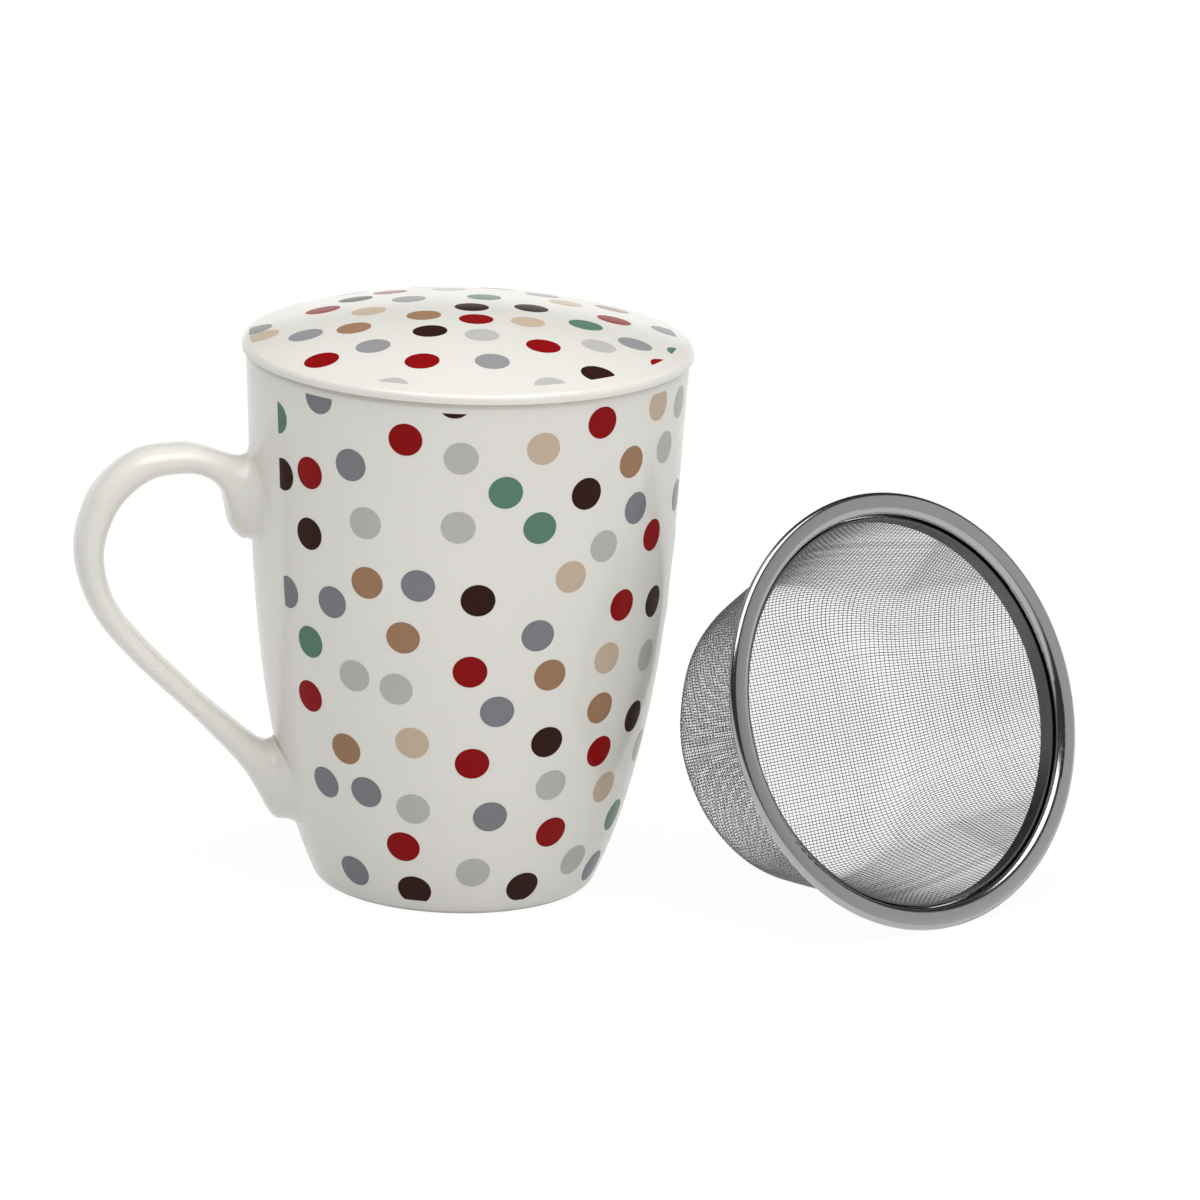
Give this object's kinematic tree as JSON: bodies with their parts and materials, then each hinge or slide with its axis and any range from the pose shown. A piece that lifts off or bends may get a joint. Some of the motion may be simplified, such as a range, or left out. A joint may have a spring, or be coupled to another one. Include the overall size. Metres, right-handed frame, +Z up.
{
  "type": "lidded tea mug with infuser",
  "caption": "Flared porcelain tea mug with a strap handle, a loose domed lid that drops into its mouth, and a loose stainless mesh strainer that hangs from its lip to brew leaf tea.",
  "frame": {"origin": "centre of the mug's foot, on the table", "axes": "+Z up; the handle points along -X; the strainer lies on its side towards +X and -Y, with its mouth facing -Y"},
  "size_m": [0.1949, 0.0961, 0.1133],
  "materials": {
    "glazed_porcelain": "glossy warm white glaze",
    "polished_stainless": "polished",
    "stainless_mesh": "fine plain weave",
    "brushed_stainless": "satin"
  },
  "bodies": {
    "mug": {"mug_body": "glazed_porcelain", "handle": "glazed_porcelain"},
    "lid": {"lid": "glazed_porcelain"},
    "strainer": {"strainer_rim": "polished_stainless", "strainer_basket": "stainless_mesh", "strainer_band": "brushed_stainless"}
  },
  "joints": [
    {"name": "lid_lift", "type": "slide", "parent": "mug", "child": "lid", "axis": [0, 0, 1], "range_m": [0, 0.08]},
    {"name": "strainer_lift", "type": "slide", "parent": "mug", "child": "strainer", "axis": [0.5, 0, 0.866], "range_m": [0, 0.15]}
  ]
}
